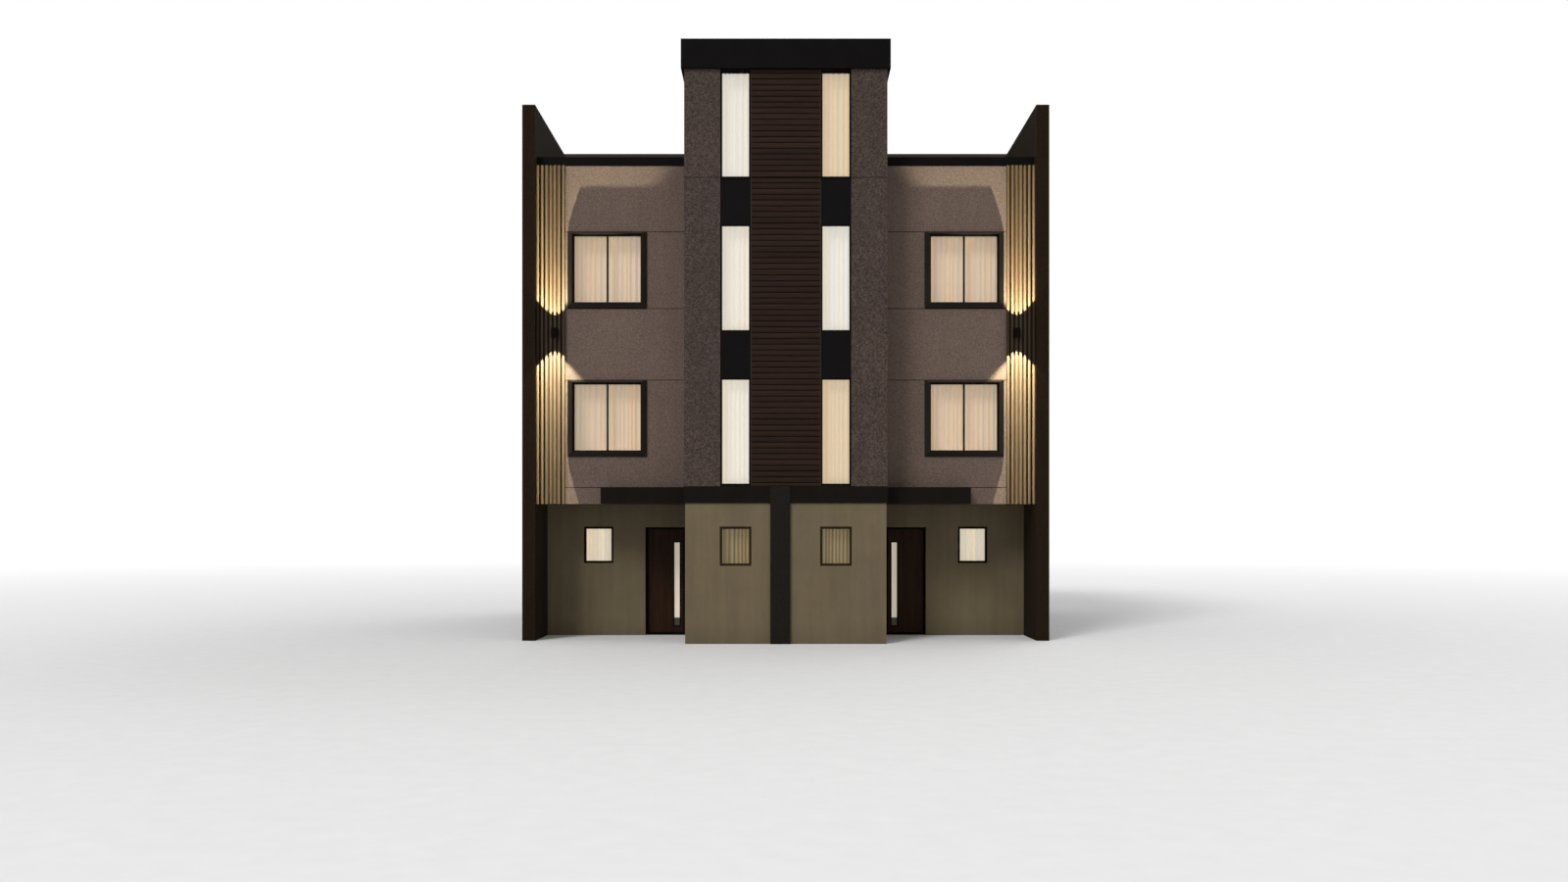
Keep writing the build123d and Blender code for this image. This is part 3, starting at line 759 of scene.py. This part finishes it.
class VILLA_OT_masonry(bpy.types.Operator):
    """Finish the walls, floors and roofs"""

    bl_idname = "villa.masonry"
    bl_label = "Masonry"

    def execute(self, context):
        colours = context.scene.villa.colours
        dress(rough_cast("tower_rough_cast", colours.tower), "tower_front_wall", "tower_back_beam",
              *pair("tower_side_wall"))
        # The wing render carries strong painted glints.
        dress(fine_render("wing_sprayed_render", colours.wing, fleck=0.25, grain=0.2, glint_gain=1.45),
              *pair("wing_wall"), "rear_wall", "roof_room_walls")
        dress(smooth_plaster("ground_floor_plaster", colours.plaster), "tower_base_wall",
              *pair("tower_base_side"), *pair("entrance_wall"), "door_heads", "door_nibs")
        dark = {"relief": 0.002, "specular": 0.04}
        dress(fine_render("party_wall_paint", colours.fin, cloud=0.1, fleck=0.22, **dark),
              *pair("party_wall"))
        # Painted shadow: the pier's dark render stands for the shadow on the tower base.
        dress(fine_render("pier_shadow_render", colours.pier_shadow, **dark), "tower_base_pier")
        # Painted shade: the porch ceiling gets a darkened copy of the plaster.
        dress(smooth_plaster("shaded_soffit_plaster", colours.shaded_soffit), "first_floor_slab")
        dress(slab_concrete("slab_concrete", colours.concrete), "second_floor_slab")
        dress(slab_concrete("paved_concrete", colours.concrete, tile=0.6), "terrace_slab",
              "ground_floor_slab", "tower_top_floor")
        dress(roofing("rear_roofing", colours.roof_edge, colours.membrane), "rear_roof")
        self.fill_joints(context.scene.villa)
        return {"FINISHED"}

    def fill_joints(self, settings):
        """Set a dark profile in each level shadow joint of the wings and the tower, its near-black partly
        painted shade of the groove.
        """
        material = coated_metal("joint_profile", settings.colours.joint_and_shade, roughness=0.7)
        left, right = pair("tower_side_wall")
        walls = {"wing": (1, [(node, -1) for node in pair("wing_wall")]),
                 "tower": (1, [("tower_front_wall", -1)]),
                 "side": (0, [(left, -1), (right, 1)])}
        for name, (axis, faces) in walls.items():
            parts = []
            for node, side in faces:
                for low, high in joint_boxes(node, axis, side):
                    (low if side < 0 else high)[axis] -= side * settings.sizes.joint_reveal
                    parts.append(block(low, high))
            new_piece(f"{name}_joint_profiles", joined(parts), material)


class VILLA_OT_metalwork(bpy.types.Operator):
    """Finish the cap, the band, the copings, the frames and the surrounds"""

    bl_idname = "villa.metalwork"
    bl_label = "Metalwork"

    def execute(self, context):
        colours = context.scene.villa.colours
        dress(coated_metal("dark_sheet", colours.metal), "tower_roof_cap", "parapet_copings")
        dress(coated_metal("band_sheet", colours.band), "dark_band")
        dress(coated_metal("spandrel_sheet", colours.metal, specular=0.05), "spandrel_panels")
        dress(coated_metal("black_frame", colours.window_frame, roughness=0.75), "tower_window_frames",
              "wing_window_frames", "rear_window_frames", *pair("door_frame"), "wall_lamps")
        dress(coated_metal("surround_coating", colours.surround, roughness=0.85), "wing_window_surrounds",
              "rear_window_surrounds")
        two_coats = coated_metal("ground_frame", colours.base_frame, outer=colours.window_frame,
                                 limit=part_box("tower_front_wall")[1].x)
        dress(two_coats, "ground_window_frames")
        return {"FINISHED"}


class VILLA_OT_glazing(bpy.types.Operator):
    """Finish the panes, set a glazing bead round each of them and line the wide windows' reveals"""

    bl_idname = "villa.glazing"
    bl_label = "Glazing"

    WIDE_WINDOW = 1.0

    def execute(self, context):
        settings = context.scene.villa
        black = settings.colours.window_frame
        rubber = coated_metal("bead_rubber", black, roughness=0.7)
        pale = coated_metal("pale_bead", settings.colours.bead, roughness=0.6)
        beads = {"tower": (-1, rubber), "wing": (-1, pale), "ground": (-1, rubber), "rear": (1, pale)}
        dress(clear_glass("window_glass"), *(f"{wall}_window_glass" for wall in beads))
        for wall, (outward, material) in beads.items():
            parts = [self.bead(box, outward, settings.sizes.bead_face)
                     for box in solid_boxes(f"{wall}_window_glass")]
            new_piece(f"{wall}_glazing_beads", joined(parts), material)
        coating = coated_metal("lining_coating", black, roughness=0.75)
        for wall, outward in (("wing", -1), ("rear", 1)):
            parts = self.linings(wall, outward, settings.sizes.lining_thickness)
            new_piece(f"{wall}_reveal_linings", joined(parts), coating)
        return {"FINISHED"}

    def bead(self, box, outward, width):
        """Shape a bead that stands before its pane, with a sloped front."""
        lip, slope = width * 1.3, width * 0.5
        profile = [(0, 0), (0, -lip), (slope, -lip), (width, -slope), (width, 0)]
        return ring(*box, face_of(box, outward), profile, outward)

    def linings(self, wall, outward, thickness):
        """Shape a lining for the reveal between each surround and its window frame."""
        face = face_of(solid_boxes(f"{wall}_window_surrounds")[0], -outward)
        for box in solid_boxes(f"{wall}_window_frames"):
            if box[1].x - box[0].x >= self.WIDE_WINDOW:
                reach = abs(face_of(box, outward) - face)
                profile = [(0, reach), (0, 0), (thickness, 0), (thickness, reach)]
                yield ring(*box, face, profile, outward)


# Timber

class VILLA_OT_cladding(bpy.types.Operator):
    """Hang the dark boards on the tower, over a dark backing and between two trims"""

    bl_idname = "villa.cladding"
    bl_label = "Cladding boards"

    PLAY = 0.0012
    SEED = 11

    def execute(self, context):
        settings = context.scene.villa
        low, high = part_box("timber_cladding")
        trim = settings.sizes.trim_face
        self.add_boards(settings, low + Vector((trim, 0, 0)), high - Vector((trim, 0, 0)))
        bed = low.y + settings.sizes.board_thickness
        membrane = fine_render("backing_membrane", settings.colours.window_frame, relief=0.001)
        self.add_strip("cladding_backing", (low.x, bed, low.z), high, membrane)
        metal = coated_metal("trim_coating", settings.colours.trim)
        for name, start in zip(pair("cladding_trim"), (low.x, high.x - trim)):
            self.add_strip(name, (start, low.y, low.z), (start + trim, bed, high.z), metal)
        return {"FINISHED"}

    def add_boards(self, settings, low, high):
        """Set whole boards at the board pitch, with an equal cut board at the foot and at the top.

        Each board stands forward or back by up to PLAY.
        """
        timber = wood("cladding_timber", settings.colours.cladding, (1.3, 30.0, 30.0), contrast=0.22,
                      specular=0.05, per_piece=0.16)
        sizes, rise = settings.sizes, high.z - low.z
        pitch, groove, thickness = sizes.board_pitch, sizes.board_groove, sizes.board_thickness
        whole = round(rise / pitch) - 1
        cut = (rise - whole * pitch - groove) / 2
        face = pitch - groove
        rows = (("cladding_boards", low.z + cut + groove + face / 2, pitch, whole, face),
                ("cut_boards", low.z + cut / 2, rise - cut, 2, cut))
        tree = bar_rows_tree()
        for name, first, step, count, height in rows:
            values = {
                "Start": (low.x, low.y + thickness / 2, first), "Step": (0, 0, step), "Count": count,
                "Turn": (0, math.radians(90), 0), "Bar length": high.x - low.x, "Face": height,
                "Thickness": thickness - 2 * self.PLAY, "Rounding": sizes.edge_rounding,
                "Play": self.PLAY, "Seed": self.SEED + count, "Finish": timber}
            grown_piece(name, tree, values, "timber_cladding")

    def add_strip(self, name, low, high, material):
        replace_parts(new_piece(name, block(low, high), material), "timber_cladding")


class VILLA_OT_slat_screens(bpy.types.Operator):
    """Set the upright slats and their dark boarding beside the party walls"""

    bl_idname = "villa.slat_screens"
    bl_label = "Slat screens"

    slat_face: measure("Slat face", "Width of a slat", 0.045)
    slat_count: bpy.props.IntProperty(name="Slats", description="Slats in one screen", default=7)

    SEED = 21

    def execute(self, context):
        colours, sizes = context.scene.villa.colours, context.scene.villa.sizes
        upright = wood("slat_timber", colours.slat, (34.0, 34.0, 1.1), contrast=0.24, specular=0.15,
                       per_piece=0.12)
        board = wood("backing_board", colours.screen_backing, (30.0, 30.0, 1.3), contrast=0.2, specular=0.1)
        tree = bar_rows_tree()
        for number, side in enumerate(SIDES):
            node = f"slat_screen_{side}"
            low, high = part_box(node)
            step = (high.x - low.x - self.slat_face) / (self.slat_count - 1)
            front = high.y - sizes.backing_thickness
            values = {
                "Start": (low.x + self.slat_face / 2, (low.y + front) / 2, low.z), "Step": (step, 0, 0),
                "Count": self.slat_count, "Turn": (0, 0, 0), "Bar length": high.z - low.z,
                "Face": self.slat_face, "Thickness": front - low.y, "Rounding": sizes.edge_rounding,
                "Play": 0.0, "Seed": self.SEED + number, "Finish": upright}
            grown_piece(f"slats_{side}", tree, values, node)
            backing = block((low.x, front, low.z), high)
            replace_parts(new_piece(f"screen_backing_{side}", backing, board), node)
        return {"FINISHED"}


class VILLA_OT_doors(bpy.types.Operator):
    """Veneer the doors, paint hall light onto their slots as a glow and trim them"""

    bl_idname = "villa.doors"
    bl_label = "Doors"

    LIP = 0.003
    OVERLAP = 0.004

    def execute(self, context):
        settings = context.scene.villa
        veneer = wood("door_veneer", settings.colours.door, (26.0, 26.0, 0.9), contrast=0.35,
                      specular=0.05, roughness=0.5)
        dress(veneer, *pair("door_leaf"), "roof_doors")
        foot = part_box("door_glass_left")[0].z
        # The slot's glow is painted hall light.
        glass = frosted_glass("slot_glass", settings.colours.slot_glass, glow=0.45, foot=foot)
        dress(glass, *pair("door_glass"))
        trim = coated_metal("slot_trim", settings.colours.window_frame, roughness=0.35)
        width, lip, overlap = settings.sizes.slot_trim_face, self.LIP, self.OVERLAP
        for side in SIDES:
            low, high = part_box(f"door_glass_{side}")
            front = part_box(f"door_leaf_{side}")[0].y
            reach = low.y - front
            profile = [(-width, 0), (-width, -lip), (overlap / 2, -lip), (overlap, 0), (overlap, reach),
                       (0, reach), (0, 0)]
            new_piece(f"door_slot_trim_{side}", ring(low, high, front, profile, -1), trim,
                      body=f"{side}_door")
        return {"FINISHED"}


# Curtains

# Between which shares of the mean width and of the full depth each pleat is drawn
PLEAT_WIDTHS = (0.55, 1.45)
PLEAT_DEPTHS = (0.45, 1.0)
FEWEST_PLEATS = 3
STEPS_IN_PLEAT = 10
STEPS_IN_DROP = 12
# How much a pleat's wave holds of its second harmonic, how far that leans the folds, and its peak
SECOND_WAVE = 0.16
FOLD_LEAN = 0.07
WAVE_PEAK = 1.1
# How deep the pleats are at the heading, and how fast they reach their full depth below it
HEADING_DEPTH = 0.7
HEADING_FADE = 2.5
CLOTH_CLEARANCE = 0.006


def between(values, number, share):
    """Give the value at a share of the way from one item of a list to the next."""
    return values[number] + (values[number + 1] - values[number]) * share


def pleat_points(width, pitch, draw):
    """Draw the pleats of one curtain.

    Gives for points across it where they lie along its width, how far out they stand, and their tint.
    """
    count = max(FEWEST_PLEATS, round(width / pitch))
    widths = [draw.uniform(*PLEAT_WIDTHS) for _ in range(count)]
    starts = [sum(widths[:number]) / sum(widths) for number in range(count)] + [1.0]
    depths = [draw.uniform(*PLEAT_DEPTHS) for _ in range(count + 1)]
    tints = [draw.random() for _ in range(count + 1)]
    points = []
    for column in range(count * STEPS_IN_PLEAT + 1):
        pleat = min(column // STEPS_IN_PLEAT, count - 1)
        share = (column - pleat * STEPS_IN_PLEAT) / STEPS_IN_PLEAT
        phase = math.tau * share
        second = math.sin(2 * phase)
        wave = between(depths, pleat, share) * (math.sin(phase) + SECOND_WAVE * second) / WAVE_PEAK
        across = between(starts, pleat, share + FOLD_LEAN * second)
        points.append((across, wave, between(tints, pleat, share)))
    return points


def pleated_cloth(low, high, pitch, fold_depth, seed):
    """Make one gathered curtain between two corners.

    Gives its vertices, its faces, how far forward each vertex stands in its pleat, which sets its painted
    fold shade, its tint, and the width of its cloth.
    """
    (width, depth, rise), middle = high - low, (low.y + high.y) / 2
    points = pleat_points(width, pitch, random.Random(seed))
    amplitude = min(fold_depth, depth - CLOTH_CLEARANCE) / 2
    vertices, lengths = [], []
    for row in range(STEPS_IN_DROP + 1):
        down = 1 - row / STEPS_IN_DROP
        reach = amplitude * (HEADING_DEPTH + (1 - HEADING_DEPTH) * min(1, down * HEADING_FADE))
        line = [Vector((low.x + width * across, middle + reach * wave, low.z + rise * row / STEPS_IN_DROP))
                for across, wave, _ in points]
        vertices += line
        lengths.append(sum((after - before).length for before, after in zip(line, line[1:])))
    stride = len(points)
    faces = [(start, start + 1, start + stride + 1, start + stride)
             for row in range(STEPS_IN_DROP) for start in range(row * stride, (row + 1) * stride - 1)]
    # Painted shade: a point further back in its pleat gets a lower value, and so darker cloth.
    fold_shades = [0.5 - 0.5 * wave for _, wave, _ in points] * (STEPS_IN_DROP + 1)
    tints = [tint for _, _, tint in points] * (STEPS_IN_DROP + 1)
    return vertices, faces, fold_shades, tints, sum(lengths) / len(lengths)


class VILLA_OT_curtains(bpy.types.Operator):
    """Hang a gathered curtain behind each window"""

    bl_idname = "villa.curtains"
    bl_label = "Curtains"

    def execute(self, context):
        colours, sizes = context.scene.villa.colours, context.scene.villa.sizes
        # Each cloth's glow is painted room light, and the warm and dim cloths are coloured by painted room
        # light too.
        white = curtain_cloth("white_voile", colours.curtain_white, glow=0.9, shade=0.1, cover=0.5)
        warm_lit = curtain_cloth("warm_voile", colours.curtain_warm_lit, glow=0.88, shade=0.14, cover=0.5)
        cream = curtain_cloth("cream_voile", colours.curtain_cream, glow=0.83, shade=0.2)
        beige = curtain_cloth("beige_voile", colours.curtain_beige, glow=0.68, shade=0.14)
        dim = curtain_cloth("dim_voile", colours.curtain_dim, glow=0.66, shade=0.7)
        self.hang("tower", (white, white, white, warm_lit, white, warm_lit), sizes, sizes.pleat_pitch)
        self.hang("wing", [beige] * 4, sizes, sizes.pleat_pitch)
        self.hang("ground", (cream, dim, dim, cream), sizes, sizes.close_pleat_pitch)
        self.hang("rear", [beige] * 8, sizes, sizes.pleat_pitch)
        return {"FINISHED"}

    def hang(self, wall, cloths, sizes, pitch):
        """Hang one wall's curtains, from left to right and upwards."""
        node = f"{wall}_curtains"
        boxes = solid_boxes(node)
        if len(boxes) != len(cloths):
            raise RuntimeError(f"{node} has {len(boxes)} curtains, and not {len(cloths)}")
        for number, ((low, high), cloth) in enumerate(zip(boxes, cloths), 1):
            seed = f"{wall}{number}"
            vertices, faces, fold_shades, tints, cut = pleated_cloth(low, high, pitch, sizes.pleat_depth, seed)
            # The rear curtains face the other way, so their faces and their painted fold shade are turned
            # round.
            if wall == "rear":
                faces = [face[::-1] for face in faces]
                fold_shades = [1 - fold_shade for fold_shade in fold_shades]
            piece = new_piece(f"{wall}_curtain_{number}", (vertices, faces), cloth,
                              smooth=True)
            for key, values in (("fold_shade", fold_shades), ("tint", tints)):
                piece.data.attributes.new(key, "FLOAT", "POINT").data.foreach_set("value", values)
            solidify = piece.modifiers.new("Cloth", "SOLIDIFY")
            solidify.thickness = sizes.cloth_thickness
            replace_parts(piece, node)


# Lamps

class VILLA_OT_lamps(bpy.types.Operator):
    """Set a lens in each end of the wall lamps and switch them on"""

    bl_idname = "villa.lamps"
    bl_label = "Wall lamps"

    screen_spread: measure("Screen spread", "Full angle of the light on the slats", math.radians(74),
                           "ROTATION")
    wall_spread: measure("Wall spread", "Full angle of the light on the walls", math.radians(78),
                         "ROTATION")
    screen_power: measure("Screen power", "Power on the oiled slats", 2950, "POWER")
    wall_power: measure("Wall power", "Power on the render", 480, "POWER")
    edge_power: measure("Edge power", "Power on the surrounds and party walls", 80, "POWER")

    LENS_GLOW = 2.0
    WALL_BLEND, SCREEN_BLEND = 0.4, 0.1
    SOURCE_RADIUS = 0.012
    # How strong the light is that doesn't fade with distance, and the light that fades in line with it
    FALLOFFS = {"Constant": 0.6, "Linear": 1.3}
    SMOOTHING = 0.25

    def execute(self, context):
        settings, nodes = context.scene.villa, frame["nodes"]
        self.add_lenses(settings)
        edges = [nodes[name] for name in ("wing_window_surrounds", *pair("party_wall"))]
        walls = [nodes[name] for name in pair("wing_wall")]
        screens = [bpy.data.objects[name] for name in pair("slats") + pair("screen_backing")]
        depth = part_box("wing_wall_left")[0].y - settings.sizes.wall_stand_off
        self.light("wall", self.wall_power, self.wall_spread, self.WALL_BLEND, walls, walls + edges, depth)
        self.light("edge", self.edge_power, self.wall_spread, self.WALL_BLEND, edges, edges, depth)
        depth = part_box("slat_screen_left")[0].y - settings.sizes.screen_stand_off
        self.light("screen", self.screen_power, self.screen_spread, self.SCREEN_BLEND, screens, screens,
                   depth)
        return {"FINISHED"}

    def add_lenses(self, settings):
        wall, recess = settings.sizes.lamp_wall, settings.sizes.lamp_recess
        sheet = settings.sizes.lens_thickness
        parts = [block((low.x + wall, low.y + wall, foot), (high.x - wall, high.y - wall, foot + sheet))
                 for low, high in solid_boxes("wall_lamps")
                 for foot in (low.z + recess - sheet, high.z - recess)]
        lens = lamp_lens("lamp_lens", settings.colours.lamp_light, self.LENS_GLOW)
        new_piece("lamp_lenses", joined(parts), lens)

    def light(self, name, power, spread, blend, receivers, blockers, depth):
        """Point a beam up and down from each lamp at some pieces, in the shadow of the blockers only."""
        lit, shading = (bpy.data.collections.new(f"{name}_{use}") for use in ("receivers", "blockers"))
        for collection, items in ((lit, receivers), (shading, blockers)):
            for item in items:
                collection.objects.link(item)
        for low, high in solid_boxes("wall_lamps"):
            for level, turn in ((high.z, 180), (low.z, 0)):
                beam = self.add_beam(f"{name}_beam", power, spread, blend)
                beam.location = ((low.x + high.x) / 2, depth, level)
                beam.rotation_euler = (math.radians(turn), 0, 0)
                beam.light_linking.receiver_collection = lit
                beam.light_linking.blocker_collection = shading

    def add_beam(self, name, power, spread, blend):
        """Make a beam whose light fades slowly and doesn't glare near its lamp."""
        data = bpy.data.lights.new(name, "SPOT")
        data.energy = power
        data.color = bpy.context.scene.villa.colours.lamp_light
        data.spot_size = spread
        data.spot_blend = blend
        data.shadow_soft_size = self.SOURCE_RADIUS
        data.use_nodes = True
        tree = data.node_tree
        parts = {}
        for number, (falloff, share) in enumerate(self.FALLOFFS.items()):
            inputs = {"Strength": share, "Smooth": self.SMOOTHING}
            parts[number] = add_node(tree, "ShaderNodeLightFalloff", inputs).outputs[falloff]
        both = add_node(tree, "ShaderNodeMath", parts, operation="ADD")
        wire(tree, tree.nodes["Emission"].inputs["Strength"], both.outputs[0])
        beam = new_object(name, data)
        beam.visible_camera = False
        return beam


# Panel and registration

class VILLA_PT_sidebar(bpy.types.Panel):
    """Lists the villa's pieces and settings"""

    bl_idname = "VILLA_PT_sidebar"
    bl_label = "Twin villa"
    bl_space_type = "VIEW_3D"
    bl_region_type = "UI"
    bl_category = "Villa"

    def draw(self, context):
        for operator in OPERATORS:
            self.layout.operator(operator.bl_idname)
        for group in (context.scene.villa.sizes, context.scene.villa.colours):
            box = self.layout.box()
            for name in type(group).__annotations__:
                box.prop(group, name)


OPERATORS = (VILLA_OT_stage, VILLA_OT_masonry, VILLA_OT_metalwork, VILLA_OT_glazing, VILLA_OT_cladding,
             VILLA_OT_slat_screens, VILLA_OT_doors, VILLA_OT_curtains, VILLA_OT_lamps)
CLASSES = (VillaColours, VillaSizes, VillaSettings, *OPERATORS, VILLA_PT_sidebar)


def register():
    for item in CLASSES:
        bpy.utils.register_class(item)
    bpy.types.Scene.villa = bpy.props.PointerProperty(type=VillaSettings, name="Villa")


def unregister():
    del bpy.types.Scene.villa
    for item in reversed(CLASSES):
        bpy.utils.unregister_class(item)


def main():
    register()
    for run in (bpy.ops.villa.stage, bpy.ops.villa.masonry, bpy.ops.villa.metalwork,
                bpy.ops.villa.glazing, bpy.ops.villa.cladding, bpy.ops.villa.slat_screens,
                bpy.ops.villa.doors, bpy.ops.villa.curtains, bpy.ops.villa.lamps):
        run()


if __name__ == "__main__":
    main()
